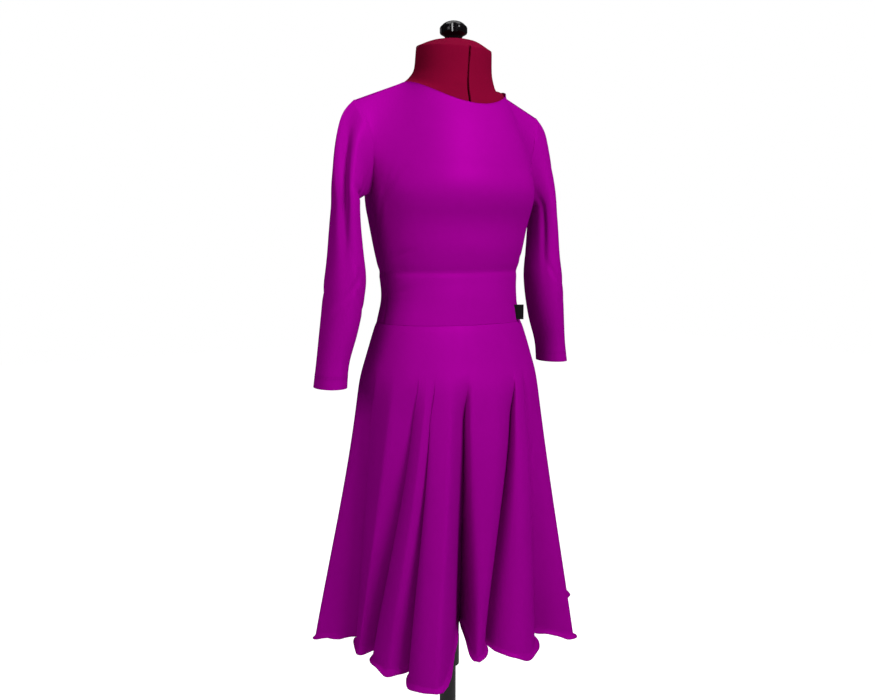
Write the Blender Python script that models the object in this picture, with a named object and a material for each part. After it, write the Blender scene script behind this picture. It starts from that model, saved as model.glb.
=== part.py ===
"""Dance dress with three-quarter sleeves and a fluted skirt, worn by a dress form on a four-legged stand.

Metres, +Z up. The origin is on the floor under the pole, the dress faces -Y and the wearer's left is +X.
A turn is an angle about the pole in degrees: 0 is the front, 90 the wearer's left.
"""

import math
from collections import namedtuple

import bmesh
import bpy
from mathutils import Vector

# Cloth and fits
CLOTH = 0.0015
SEAM_GAP = 0.0003
FORM_CLEARANCE = 0.0011
SEAT_GAP = 0.0003
MOST_STRETCH = 1.4

# Heights above the floor
HEM = 0.450
FLUTES_START = 0.945
WAIST_SEAM = 1.045
BAND_SEAM = 1.131
ARMPIT = 1.262
SHOULDER = 1.405
SIDE_NECK = 1.440
FRONT_NECK = 1.403
BACK_NECK = 1.446
NECK_TOP = 1.508

# Neckline, shoulders and armholes
NECKLINE_CENTRE = -0.012
NECKLINE_HALF_WIDTH = 0.096
NECKLINE_DEPTH = 0.080
NECKLINE_TURN = 56.25
NECK_INSET = 0.0030
SHOULDER_HALF = 0.183
SHOULDER_FORWARD = -0.008
ARMHOLE_HALF = 0.160
ARMHOLE_FRONT = -0.052
ARMHOLE_BACK = 0.062
SLEEVE_HEAD_FULLNESS = 0.040
ELBOW = 1.124
CUFF = 0.946
LEFT_CUFF_RISE = 0.0125

# Sections of the dress and the form, from the side seams inwards
SQUARENESS = 2.25
HALF_COLUMNS = 16
CHEST_ROWS = 7
HEAD_ROWS = (0.08, 0.25, 0.50, 0.75)
UNDERARM_EASE = 0.18

# Skirt
FLUTE_SIDE_STEPS = 4
RIDGE_ROUNDNESS = 0.62
RIDGE_SLOPE = 0.13
VALLEY_SLOPE = 0.033
LIP_HEIGHT = 0.009
LIP_REACH = 0.005

# Side label
LABEL_BOTTOM = 1.048
LABEL_TOP = 1.074
LABEL_WIDTH = 0.017
LABEL_THICKNESS = 0.0010
LABEL_ROOT = (33.75, 45.0)
LABEL_TURN = 58.0

# Dial on the neck
DIAL_RADIUS = 0.0235
DIAL_STEM_RADIUS = 0.0140
DIAL_LOBES = 6
DIAL_LOBE_DEPTH = 0.0040
DIAL_CENTRE = -0.015

# Slot down the neck of the form
SLOT_WIDTH = 0.0044
SLOT_BOTTOM = 1.385
SLOT_FLOOR = -0.0725
SLOT_LENGTH = 0.030
SLOT_ASIDE = -0.0105
SLOT_LEAN = 4.0

# Stand
FORM_BOTTOM = 0.885
POLE_RADIUS = 0.015
COLLAR_RADIUS = 0.021
COLLAR_BOTTOM = 0.405
COLLAR_TOP = 0.465
HUB_RADIUS = 0.048
HUB_HEIGHT = 0.062
LEG_REACH = 0.285
LEG_WIDTH = 0.036
LEG_ROOT_HEIGHT = 0.034
LEG_TIP_HEIGHT = 0.016
ROUND_SIDES = 32

Section = namedtuple("Section", "height half_width front back")
SleeveRing = namedtuple("SleeveRing", "height centre forward half_thick half_deep")
Flute = namedtuple("Flute", "ridge_hip ridge_turn ridge_reach valley_hip valley_turn valley_reach lift")
Column = namedtuple("Column", "hip turn reach lift ridge")
FormRing = namedtuple("FormRing", "height half_width half_deep centre tilt", defaults=(0.0,))

# Outside of the bodice and waistband
TORSO = (
    Section(1.045, 0.1305, 0.1050, 0.0930),
    Section(1.087, 0.1225, 0.1010, 0.0860),
    Section(1.131, 0.1260, 0.0960, 0.0920),
    Section(1.170, 0.1340, 0.1070, 0.0990),
    Section(1.214, 0.1420, 0.1150, 0.1070),
    Section(1.262, 0.1510, 0.1400, 0.1140),
)

# Outside of the skirt where it follows the hips
HIPS = (
    Section(0.945, 0.1605, 0.1380, 0.1260),
    Section(0.974, 0.1525, 0.1270, 0.1150),
    Section(1.010, 0.1430, 0.1170, 0.1010),
    Section(1.045, 0.1315, 0.1060, 0.0940),
)

# Skirt flutes in order of turn, each with the valley that follows it; folds lean from hip turn to hem turn
FLUTES = (
    Flute(-158, -162, 0.220, -148, -152, 0.120, 0.010),
    Flute(-136, -141, 0.230, -122, -131, 0.128, 0.012),
    Flute(-104, -118, 0.242, -86, -109, 0.162, 0.014),
    Flute(-66, -98, 0.172, -47, -92, 0.120, 0.014),
    Flute(-41, -70, 0.172, -36, -55, 0.146, 0.010),
    Flute(-26, -38, 0.197, -13, -19, 0.074, 0.006),
    Flute(1, -9, 0.130, 16, 12, 0.100, 0.022),
    Flute(21, 28, 0.168, 27, 50, 0.151, 0.016),
    Flute(47, 56, 0.230, 60, 68, 0.130, 0.012),
    Flute(76, 82, 0.258, 93, 97, 0.130, 0.040),
    Flute(108, 109, 0.236, 120, 120, 0.120, 0.020),
    Flute(131, 131, 0.222, 142, 142, 0.115, 0.012),
    Flute(154, 154, 0.216, 165, 165, 0.110, 0.010),
    Flute(176, 176, 0.214, 189, 187, 0.112, 0.008),
)
# Panels in order of turn, each with the number of the flute whose valley is its last seam
PANEL_ENDS = {"skirt_back_right": 2, "skirt_front_right": 5, "skirt_front_left": 9, "skirt_back_left": 12}
SKIRT_ROWS = (0.0, 0.14, 0.30, 0.47, 0.64, 0.81, 0.93)

# Left sleeve; the right one mirrors it
SLEEVE = (
    SleeveRing(1.247, 0.2000, -0.008, 0.0190, 0.0350),
    SleeveRing(1.211, 0.2020, -0.008, 0.0220, 0.0365),
    SleeveRing(1.153, 0.2020, -0.008, 0.0280, 0.0395),
    SleeveRing(ELBOW, 0.2030, -0.009, 0.0320, 0.0415),
    SleeveRing(1.081, 0.2080, -0.008, 0.0315, 0.0415),
    SleeveRing(1.030, 0.2165, -0.006, 0.0290, 0.0385),
    SleeveRing(0.984, 0.2265, -0.005, 0.0250, 0.0335),
    SleeveRing(CUFF, 0.2310, -0.005, 0.0260, 0.0345),
)

# Form under the skirt, and from the chest to the top of the neck
FORM_HIPS = (
    FormRing(0.885, 0.1240, 0.0930, -0.004),
    FormRing(0.900, 0.1360, 0.1030, -0.004),
    FormRing(0.935, 0.1400, 0.1060, -0.004),
    FormRing(0.985, 0.1360, 0.0990, -0.005),
    FormRing(1.018, 0.1300, 0.0930, -0.006),
)
FORM_CHEST = (
    FormRing(1.300, 0.1420, 0.1040, -0.008),
    FormRing(1.335, 0.1380, 0.0880, -0.008),
    FormRing(1.365, 0.1240, 0.0750, -0.008),
    FormRing(1.388, 0.1050, 0.0670, -0.009),
)
FORM_NECK = (
    FormRing(1.4450, 0.0765, 0.0695, -0.012, 0.28),
    FormRing(1.4570, 0.0695, 0.0650, -0.013, 0.20),
    FormRing(1.4700, 0.0662, 0.0630, -0.014, 0.14),
    FormRing(1.4980, 0.0645, 0.0620, -0.016, 0.12),
    FormRing(1.5040, 0.0610, 0.0590, -0.016, 0.12),
    FormRing(1.5130, 0.0400, 0.0390, -0.016, 0.05),
    FormRing(1.5160, 0.0180, 0.0180, -0.015),
)

# Profile of the dial as radius and height, from its underside up
DIAL_BOTTOM = 1.516 + SEAT_GAP
DIAL_PROFILE = (
    (DIAL_STEM_RADIUS, 0.000),
    (DIAL_STEM_RADIUS, 0.0060),
    (0.0205, 0.0100),
    (DIAL_RADIUS, 0.0125),
    (DIAL_RADIUS, 0.0215),
    (0.0200, 0.0255),
    (0.0130, 0.0300),
)
DIAL_TOP = 0.0322
DIAL_ROUND_RADIUS = 0.016
DIAL_SIDES = 6 * DIAL_LOBES


def clear_scene():
    for obj in list(bpy.data.objects):
        bpy.data.objects.remove(obj, do_unlink=True)


def make_material(name, colour, roughness, metallic=0.0):
    """A Principled material with a linear colour."""
    material = bpy.data.materials.new(name)
    material.use_nodes = True
    shader = material.node_tree.nodes["Principled BSDF"]
    shader.inputs["Base Color"].default_value = (*colour, 1.0)
    shader.inputs["Roughness"].default_value = roughness
    shader.inputs["Metallic"].default_value = metallic
    material.diffuse_color = (*colour, 1.0)
    return material


def make_object(name, points, faces, material, smooth_angle=40.0):
    mesh = bpy.data.meshes.new(name)
    mesh.from_pydata([tuple(point) for point in points], [], faces)
    mesh.materials.append(material)
    mesh.shade_smooth()
    mesh.set_sharp_from_angle(angle=math.radians(smooth_angle))
    obj = bpy.data.objects.new(name, mesh)
    bpy.context.scene.collection.objects.link(obj)
    return obj


def read_table(rows, height, column):
    """Value of a table's column at a height, on a smooth curve through its rows."""
    heights = [row.height for row in rows]
    values = [getattr(row, column) for row in rows]
    if heights[0] > heights[-1]:
        heights.reverse()
        values.reverse()
    height = min(max(height, heights[0]), heights[-1])
    last = len(heights) - 1
    low = max(index for index in range(last) if heights[index] <= height)

    def slope(index):
        before, after = max(index - 1, 0), min(index + 1, last)
        return (values[after] - values[before]) / (heights[after] - heights[before])

    span = heights[low + 1] - heights[low]
    t = (height - heights[low]) / span
    return (
        values[low] * (2 * t**3 - 3 * t**2 + 1)
        + slope(low) * span * (t**3 - 2 * t**2 + t)
        + values[low + 1] * (3 * t**2 - 2 * t**3)
        + slope(low + 1) * span * (t**3 - t**2)
    )


def around(turn, half_width, front, back, centre=0.0, squareness=SQUARENESS):
    """Plan position at a turn on a rounded section, as (x, y)."""
    angle = math.radians(turn)
    power = 2.0 / squareness
    across = math.copysign(abs(math.sin(angle)) ** power, math.sin(angle))
    along = math.copysign(abs(math.cos(angle)) ** power, math.cos(angle))
    return half_width * across, centre - along * (front if along > 0 else back)


def section_point(rows, turn, height):
    size = [read_table(rows, height, column) for column in ("half_width", "front", "back")]
    x, y = around(turn, *size)
    return Vector((x, y, height))


def column_turns():
    """Turns of the dress's columns, from the back round by the right side, the front and the left."""
    step = 90.0 / (HALF_COLUMNS / 2)
    return [-180.0 + step * index for index in range(2 * HALF_COLUMNS)]


def top_edge(turn):
    """Point of the neckline or shoulder seam above a column."""
    front = abs(turn) <= 90
    folded = abs(turn) if front else 180 - abs(turn)
    side = math.copysign(1.0, turn)
    if folded <= NECKLINE_TURN:
        angle = math.radians(90.0 * folded / NECKLINE_TURN)
        middle = FRONT_NECK if front else BACK_NECK
        along = -1 if front else 1
        return Vector((
            side * NECKLINE_HALF_WIDTH * math.sin(angle),
            NECKLINE_CENTRE + along * NECKLINE_DEPTH * math.cos(angle),
            middle + (SIDE_NECK - middle) * math.sin(angle) ** 2,
        ))
    part = (folded - NECKLINE_TURN) / (90 - NECKLINE_TURN)
    neck = Vector((side * NECKLINE_HALF_WIDTH, NECKLINE_CENTRE, SIDE_NECK))
    shoulder = Vector((side * SHOULDER_HALF, SHOULDER_FORWARD, SHOULDER))
    return neck.lerp(shoulder, part)


def neck_base(turn):
    """Point of the form just inside and under the neckline, where its neck flares out to the shoulders."""
    angle = math.radians(turn)
    middle = FRONT_NECK if abs(turn) <= 90 else BACK_NECK
    return Vector((
        (NECKLINE_HALF_WIDTH - NECK_INSET) * math.sin(angle),
        NECKLINE_CENTRE - (NECKLINE_DEPTH - NECK_INSET) * math.cos(angle),
        middle + (SIDE_NECK - middle) * math.sin(angle) ** 2 - NECK_INSET,
    ))


def chest_point(turn, front, part):
    """Point above the armpit level: part 0 is that level, 1 the neckline or shoulder seam."""
    folded = turn if front else math.copysign(180 - abs(turn), turn)
    low = section_point(TORSO, turn, ARMPIT)
    high = top_edge(turn if abs(turn) != 90 else math.copysign(89.999 if front else 90.001, turn))
    edge = (abs(folded) / 90.0) ** 4
    side = math.copysign(1.0, turn)
    bend = Vector((
        (1 - edge) * 0.5 * (low.x + high.x) + edge * side * ARMHOLE_HALF,
        (1 - edge) * (0.78 * low.y + 0.22 * high.y) + edge * (ARMHOLE_FRONT if front else ARMHOLE_BACK),
        low.z + 0.55 * (high.z - low.z),
    ))
    return low.lerp(bend, part).lerp(bend.lerp(high, part), part)


class Skin:
    """A surface of named pieces that share their seam points and so their normals there."""

    def __init__(self):
        self.points = []
        self.faces = []
        self.pieces = []

    def add(self, point):
        self.points.append(Vector(point))
        return len(self.points) - 1

    def face(self, piece, corners):
        self.faces.append(corners)
        self.pieces.append(piece)

    def normals(self, even=False):
        """Unit normals, or with even set lengthened at folds, where a wall keeps its thickness so."""
        mesh = bmesh.new()
        verts = [mesh.verts.new(point) for point in self.points]
        for corners in self.faces:
            mesh.faces.new([verts[index] for index in corners])
        mesh.normal_update()
        found = []
        for vert in verts:
            found.append(vert.normal * (min(vert.calc_shell_factor(), MOST_STRETCH) if even else 1.0))
        mesh.free()
        return found

    def halved(self, corners):
        """A quad as two triangles along its shorter diagonal, so that both sides of a wall fold alike."""
        if len(corners) == 3:
            return [corners]
        a, b, c, d = corners
        if (self.points[a] - self.points[c]).length < (self.points[b] - self.points[d]).length:
            return [[a, b, c], [a, c, d]]
        return [[a, b, d], [b, c, d]]

    def wall(self, piece, material, thickness=CLOTH):
        """One piece as a closed wall, drawn back at its seams by half their gap."""
        normals = self.normals()
        depths = self.normals(even=True)
        faces = []
        for corners, name in zip(self.faces, self.pieces):
            if name == piece:
                faces += self.halved(corners)
        edges = {}
        for corners in faces:
            for start, end in zip(corners, corners[1:] + corners[:1]):
                edges[(start, end)] = edges.get((start, end), 0) + 1
        border = [edge for edge in edges if (edge[1], edge[0]) not in edges]
        on_border = {index for edge in border for index in edge}
        inward = {index: Vector() for index in on_border}
        for start, end in border:
            along = self.points[end] - self.points[start]
            for index in (start, end):
                across = normals[index].cross(along)
                inward[index] += across.normalized()
        used = sorted({index for corners in faces for index in corners})
        outer, inner = [], []
        for index in used:
            point = self.points[index].copy()
            if index in on_border:
                point += inward[index].normalized() * (0.5 * SEAM_GAP + 0.00004)
            outer.append(point)
            inner.append(point - (normals if index in on_border else depths)[index] * thickness)
        place = {index: number for number, index in enumerate(used)}
        count = len(used)
        solid = [[place[index] for index in corners] for corners in faces]
        solid += [[count + place[index] for index in reversed(corners)] for corners in faces]
        for start, end in border:
            outside, inside = (place[start], place[end]), (count + place[start], count + place[end])
            # Both pieces at a seam split its side faces along the same diagonal
            if start < end:
                solid += [[outside[1], outside[0], inside[1]], [outside[0], inside[0], inside[1]]]
            else:
                solid += [[outside[1], outside[0], inside[0]], [outside[1], inside[0], inside[1]]]
        return make_object(piece, outer + inner, solid, material)


def ring_faces(skin, piece, low, high, columns):
    """Quads between two rows of point numbers, for the columns given; faces look outwards."""
    count = len(low)
    for column in columns:
        after = (column + 1) % count
        skin.face(piece, [low[column], low[after], high[after], high[column]])


def make_bodice_and_sleeves():
    """The waistband, bodice and sleeves as one skin. Returns it with its rows below the armpit."""
    skin = Skin()
    turns = column_turns()
    count = len(turns)
    right, left = turns.index(-90.0), turns.index(90.0)
    front = list(range(right, left))
    back = [column for column in range(count) if column not in front]
    heights = [WAIST_SEAM, 1.060, 1.087, 1.110, BAND_SEAM, 1.160, 1.192, 1.226, ARMPIT]
    rows = [[skin.add(section_point(TORSO, turn, height)) for turn in turns] for height in heights]
    band_top = heights.index(BAND_SEAM)
    for number in range(len(rows) - 1):
        part = "waistband" if number < band_top else "bodice"
        ring_faces(skin, part + "_front", rows[number], rows[number + 1], front)
        ring_faces(skin, part + "_back", rows[number], rows[number + 1], back)

    armpit_row = rows[-1]
    top = {}

    def chest_rows(columns, is_front):
        """Rows from the armpit level to the top; the shoulder seam is shared by front and back."""
        below = [armpit_row[column] for column in columns]
        found = [below]
        for number in range(1, CHEST_ROWS + 1):
            row = []
            for column in columns:
                turn = turns[column]
                folded = abs(turn) if is_front else 180 - abs(turn)
                shared = (round(folded, 3), turn > 0)
                if number == CHEST_ROWS and folded >= NECKLINE_TURN and shared in top:
                    row.append(top[shared])
                    continue
                index = skin.add(chest_point(turn, is_front, number / CHEST_ROWS))
                if number == CHEST_ROWS and folded >= NECKLINE_TURN:
                    top[shared] = index
                row.append(index)
            found.append(row)
        return found

    front_rows = chest_rows(front + [left], True)
    back_rows = chest_rows(back[back.index(left):] + back[:back.index(left)] + [right], False)
    for piece, grid in (("bodice_front", front_rows), ("bodice_back", back_rows)):
        for low, high in zip(grid, grid[1:]):
            for column in range(len(low) - 1):
                skin.face(piece, [low[column], low[column + 1], high[column + 1], high[column]])

    front_left = [row[-1] for row in front_rows]
    back_left = [row[0] for row in back_rows]
    front_right = [row[0] for row in front_rows]
    back_right = [row[-1] for row in back_rows]
    add_sleeve(skin, "sleeve_left", 1, front_left + back_left[-2:0:-1])
    add_sleeve(skin, "sleeve_right", -1, front_right + back_right[-2:0:-1])
    return skin, rows


def sleeve_ring(row, side, count):
    """Points of a sleeve ring from the inside of the arm by the front, the outside and the back."""
    points = []
    rise = LEFT_CUFF_RISE * max(0.0, (ELBOW - row.height) / (ELBOW - CUFF)) if side > 0 else 0.0
    for index in range(count):
        angle = math.radians(360.0 * index / count)
        points.append(Vector((
            side * (row.centre - row.half_thick * math.cos(angle)),
            row.forward - row.half_deep * math.sin(angle),
            row.height + rise,
        )))
    return points


def add_sleeve(skin, piece, side, armhole):
    """A set-in sleeve from the armhole's point numbers, armpit first and front next, to the cuff."""
    count = len(armhole)
    first = sleeve_ring(SLEEVE[0], side, count)
    rings = [armhole]
    for step in HEAD_ROWS:
        ring = []
        for index, target in zip(armhole, first):
            start = skin.points[index]
            rise = max(0.0, (start.z - ARMPIT) / (SHOULDER - ARMPIT))
            part = step + UNDERARM_EASE * (1 - rise) * (1 - step)
            fullness = SLEEVE_HEAD_FULLNESS * part**0.5 * (1 - part) ** 0.8 * rise
            point = start.lerp(target, part) + Vector((side * fullness, 0, 0.3 * fullness))
            ring.append(skin.add(point))
        rings.append(ring)
    rings += [[skin.add(point) for point in sleeve_ring(row, side, count)] for row in SLEEVE]
    for high, low in zip(rings, rings[1:]):
        for index in range(count):
            after = (index + 1) % count
            corners = [low[index], low[after], high[after], high[index]]
            skin.face(piece, corners if side > 0 else corners[::-1])


def flute_columns():
    """Columns of the skirt from hip to hem, ridge being 1 on a ridge and 0 in a valley."""
    columns = []
    before = FLUTES[-1]
    valley = (before.valley_hip - 360, before.valley_turn - 360, before.valley_reach)
    for flute, following in zip(FLUTES, FLUTES[1:] + FLUTES[:1]):
        top = (flute.ridge_hip, flute.ridge_turn, flute.ridge_reach)
        next_valley = (flute.valley_hip, flute.valley_turn, flute.valley_reach)
        rising = [step / FLUTE_SIDE_STEPS for step in range(FLUTE_SIDE_STEPS)]
        for parts, (hip, turn, reach), neighbour in (
            (rising, valley, before),
            ([1 - part for part in rising], next_valley, following),
        ):
            lift = 0.5 * (neighbour.lift + flute.lift)
            for part in parts:
                ridge = 0.5 - 0.5 * math.cos(math.pi * part**RIDGE_ROUNDNESS)
                columns.append(Column(
                    hip + part * (top[0] - hip),
                    turn + part * (top[1] - turn),
                    reach + ridge * (top[2] - reach),
                    lift + ridge * (flute.lift - lift),
                    ridge,
                ))
        valley, before = next_valley, flute
    return columns


def flute_point(column, fall):
    """Point of a hanging flute, fall being 0 on the hips and 1 at the hem; ridges spring out first."""
    hip = section_point(HIPS, column.hip, FLUTES_START)
    angle = math.radians(column.turn)
    outwards = Vector((math.sin(angle), -math.cos(angle), 0.0))
    hem = outwards * column.reach
    hem.z = HEM + column.lift + LIP_HEIGHT
    slope = VALLEY_SLOPE + (RIDGE_SLOPE - VALLEY_SLOPE) * column.ridge
    spring = slope * (FLUTES_START - hem.z) * outwards
    level = Vector((hem.x - hip.x, hem.y - hip.y, 0.0))
    return hip.lerp(hem, fall) + (spring - level) * fall * (1 - fall) ** 2


def make_skirt(material):
    """Four skirt panels seamed in valleys, smooth over the hips and fluted down to a curled hem."""
    skin = Skin()
    columns = flute_columns()
    rows = []
    for height in (WAIST_SEAM - SEAM_GAP, 1.010, 0.974):
        rows.append([skin.add(section_point(HIPS, column.hip, height)) for column in columns])
    for fall in SKIRT_ROWS:
        rows.append([skin.add(flute_point(column, fall)) for column in columns])
    for reach_out, drop in ((0.0, 0.0), (LIP_REACH, LIP_HEIGHT)):
        row = []
        for column in columns:
            angle = math.radians(column.turn)
            out = column.reach + reach_out * (0.3 + 0.7 * column.ridge)
            height = HEM + column.lift + LIP_HEIGHT - drop
            row.append(skin.add((out * math.sin(angle), -out * math.cos(angle), height)))
        rows.append(row)
    seams = {panel: 2 * FLUTE_SIDE_STEPS * (flute + 1) for panel, flute in PANEL_ENDS.items()}
    start = seams["skirt_back_left"] - len(columns)
    for panel, end in seams.items():
        for high, low in zip(rows, rows[1:]):
            ring_faces(skin, panel, low, high, [column % len(columns) for column in range(start, end)])
        start = end
    for panel in seams:
        skin.wall(panel, material)


def make_label(skin, rows, material):
    """A small flat label on the waistband's left front, caught by one edge and standing out sideways."""
    turns = column_turns()
    columns = [turns.index(turn) for turn in LABEL_ROOT]
    angle = math.radians(LABEL_TURN)
    outwards = Vector((math.sin(angle), -math.cos(angle), 0.0))
    half_thick = Vector((math.cos(angle), math.sin(angle), 0.0)) * 0.5 * LABEL_THICKNESS
    bottom, top = [], []
    for height, ring in ((LABEL_BOTTOM, bottom), (LABEL_TOP, top)):
        place = next(n for n in range(len(rows)) if skin.points[rows[n + 1][columns[0]]].z >= height)
        low, high = rows[place], rows[place + 1]
        share = (height - skin.points[low[columns[0]]].z) / (
            skin.points[high[columns[0]]].z - skin.points[low[columns[0]]].z)
        edges = [skin.points[low[column]].lerp(skin.points[high[column]], share) for column in columns]
        root = edges[0].lerp(edges[1], 0.5) + outwards * (SEAT_GAP + 0.0003)
        tip = root + outwards * LABEL_WIDTH
        ring += [root - half_thick, tip - half_thick, tip + half_thick, root + half_thick]
    make_turned("side_label", [bottom, top], material)


def make_turned(name, rings, material):
    """A closed solid through rings of equal count, lowest first."""
    points = [point for ring in rings for point in ring]
    count = len(rings[0])
    faces = [list(range(count))[::-1]]
    for number in range(len(rings) - 1):
        base = number * count
        for index in range(count):
            after = (index + 1) % count
            faces.append([base + index, base + after, base + count + after, base + count + index])
    faces.append([len(points) - count + index for index in range(count)])
    return make_object(name, points, faces, material)


def make_form(skin, rows, material):
    """The padded form: hips, the dress's own sections moved in, shoulders and neck with its slot."""
    turns = column_turns()
    normals = skin.normals()
    inset = CLOTH + FORM_CLEARANCE

    def own_ring(row, squareness=2.0):
        found = []
        for turn in turns:
            x, y = around(turn, row.half_width, row.half_deep, row.half_deep, row.centre, squareness)
            found.append(Vector((x, y, row.height + row.tilt * (y - row.centre))))
        return found

    rings = [own_ring(row) for row in FORM_HIPS]
    for row in rows:
        ring = []
        for index in row:
            inwards = normals[index].copy()
            inwards.z = 0.0
            ring.append(skin.points[index] - inwards.normalized() * inset)
        rings.append(ring)
    rings += [own_ring(row) for row in FORM_CHEST]
    rings.append([neck_base(turn) for turn in turns])
    rings += [own_ring(row) for row in FORM_NECK]
    form = make_turned("form_torso", rings, material)

    height = 2 * (NECK_TOP - SLOT_BOTTOM)
    block = bmesh.new()
    bmesh.ops.create_cube(block, size=1.0)
    bmesh.ops.scale(block, vec=(SLOT_WIDTH, SLOT_LENGTH, height), verts=block.verts)
    mesh = bpy.data.meshes.new("slot_cutter")
    block.to_mesh(mesh)
    block.free()
    cutter = bpy.data.objects.new("slot_cutter", mesh)
    bpy.context.scene.collection.objects.link(cutter)
    cutter.location = (SLOT_ASIDE, SLOT_FLOOR - SLOT_LENGTH / 2, SLOT_BOTTOM + height / 2)
    cutter.rotation_euler = (0.0, math.radians(SLOT_LEAN), 0.0)
    cutter.hide_render = True
    cutter.display_type = "WIRE"
    cut = form.modifiers.new("slot", "BOOLEAN")
    cut.operation = "DIFFERENCE"
    cut.solver = "EXACT"
    cut.object = cutter
    return form


def circle(radius, height, sides=ROUND_SIDES, centre=(0.0, 0.0), lobes=0, lobe_depth=0.0):
    points = []
    for index in range(sides):
        angle = 2 * math.pi * index / sides
        reach = radius - lobe_depth * (0.5 - 0.5 * math.cos(lobes * angle)) if lobes else radius
        x, y = centre[0] + reach * math.sin(angle), centre[1] - reach * math.cos(angle)
        points.append(Vector((x, y, height)))
    return points


def make_dial(material):
    """The lobed dial that spreads the neck of the form, with its origin on its own axis."""
    rings = []
    for radius, rise in DIAL_PROFILE:
        depth = DIAL_LOBE_DEPTH if radius > DIAL_ROUND_RADIUS else 0.0
        rings.append(circle(radius, rise, DIAL_SIDES, lobes=DIAL_LOBES, lobe_depth=depth))
    rings.append(circle(0.004, DIAL_TOP, DIAL_SIDES))
    dial = make_turned("neck_dial", rings, material)
    dial.location = (0.0, DIAL_CENTRE, DIAL_BOTTOM)


def make_stand(material):
    """Pole, collar and a hub with four flat-bottomed legs."""
    pole_bottom = HUB_HEIGHT + SEAT_GAP
    pole_top = FORM_BOTTOM - SEAT_GAP
    chamfer = 0.003
    lower = (
        (POLE_RADIUS, pole_bottom), (POLE_RADIUS, COLLAR_BOTTOM), (COLLAR_RADIUS, COLLAR_BOTTOM + chamfer),
        (COLLAR_RADIUS, COLLAR_TOP - chamfer), (POLE_RADIUS, COLLAR_TOP), (POLE_RADIUS, pole_top),
    )
    make_turned("stand_pole", [circle(radius, height) for radius, height in lower], material)
    hub = (
        (HUB_RADIUS, 0.0), (HUB_RADIUS, LEG_ROOT_HEIGHT + chamfer),
        (HUB_RADIUS - 0.010, LEG_ROOT_HEIGHT + 0.010), (0.026, HUB_HEIGHT - chamfer), (0.023, HUB_HEIGHT),
    )
    make_turned("stand_hub", [circle(radius, height) for radius, height in hub], material)
    start = HUB_RADIUS + SEAT_GAP
    half = LEG_WIDTH / 2
    outline = (
        (start, 0.0), (LEG_REACH - 0.012, 0.0), (LEG_REACH, 0.004), (LEG_REACH, LEG_TIP_HEIGHT - 0.004),
        (LEG_REACH - 0.006, LEG_TIP_HEIGHT), (start, LEG_ROOT_HEIGHT),
    )
    for number in range(4):
        points = [Vector((side * half, -reach, height)) for side in (-1, 1) for reach, height in outline]
        count = len(outline)
        faces = [list(range(count)), [count + index for index in reversed(range(count))]]
        for index in range(count):
            after = (index + 1) % count
            faces.append([after, index, count + index, count + after])
        leg = make_object("stand_leg_%d" % (number + 1), points, faces, material, 25.0)
        leg.rotation_euler = (0.0, 0.0, math.radians(90 * number))


def main():
    clear_scene()
    crepe = make_material("stretch_crepe", (0.31, 0.0008, 0.27), 0.55)
    label_black = make_material("woven_label", (0.004, 0.004, 0.004), 0.75)
    form_cover = make_material("form_cover", (0.17, 0.0010, 0.025), 0.85)
    dial_black = make_material("dial_plastic", (0.006, 0.005, 0.006), 0.22)
    stand_black = make_material("stand_enamel", (0.006, 0.006, 0.006), 0.40)
    skin, rows = make_bodice_and_sleeves()
    for piece in ("bodice_front", "bodice_back", "waistband_front", "waistband_back"):
        skin.wall(piece, crepe)
    for piece in ("sleeve_left", "sleeve_right"):
        skin.wall(piece, crepe)
    make_skirt(crepe)
    make_label(skin, rows, label_black)
    make_form(skin, rows, form_cover)
    make_dial(dial_black)
    make_stand(stand_black)


main()
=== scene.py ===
"""Looks of a dance dress on its dress form: cloth with folds and stitches, form cover, dial and stand.

Metres, +Z up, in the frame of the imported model. The dress faces -Y and the wearer's left is +X.
A turn is an angle about the pole in degrees: 0 is the front, 90 the wearer's left.
"""

import math
from collections import namedtuple

import bpy
import numpy as np
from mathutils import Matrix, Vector


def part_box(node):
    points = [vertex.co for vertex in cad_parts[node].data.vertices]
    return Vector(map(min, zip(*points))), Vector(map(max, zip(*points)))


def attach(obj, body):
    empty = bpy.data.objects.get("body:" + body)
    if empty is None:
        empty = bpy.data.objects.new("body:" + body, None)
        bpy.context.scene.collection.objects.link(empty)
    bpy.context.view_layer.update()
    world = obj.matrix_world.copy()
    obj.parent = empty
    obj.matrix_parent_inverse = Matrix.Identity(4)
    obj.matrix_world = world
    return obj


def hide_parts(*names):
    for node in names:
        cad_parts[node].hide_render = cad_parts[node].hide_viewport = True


bl_info = {
    "name": "Dance Dress on a Dress Form",
    "version": (1, 0, 0),
    "blender": (4, 5, 0),
    "location": "View3D > Sidebar > Dance Dress",
    "description": "Builds a fitted dance dress with a fluted skirt on its dress form",
    "category": "Object",
}

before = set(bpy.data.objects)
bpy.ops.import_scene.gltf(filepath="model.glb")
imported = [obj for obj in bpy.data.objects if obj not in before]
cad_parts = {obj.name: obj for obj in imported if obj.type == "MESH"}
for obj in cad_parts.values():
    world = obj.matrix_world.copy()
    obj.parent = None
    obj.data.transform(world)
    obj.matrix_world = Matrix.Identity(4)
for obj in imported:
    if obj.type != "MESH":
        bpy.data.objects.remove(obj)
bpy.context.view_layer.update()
DRESS_BODY = "dress_and_form"
DIAL_BODY = "dial"

# Heights above the floor, as in the frame
HEM = 0.450
FLUTES_START = 0.945
WAIST_SEAM = 1.045
BAND_SEAM = 1.131
ARMPIT = 1.262
SHOULDER = 1.405
SIDE_NECK = 1.440
FRONT_NECK = 1.403
BACK_NECK = 1.446
ELBOW = 1.124
CUFF = 0.946
LEFT_CUFF_RISE = 0.0125

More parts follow.
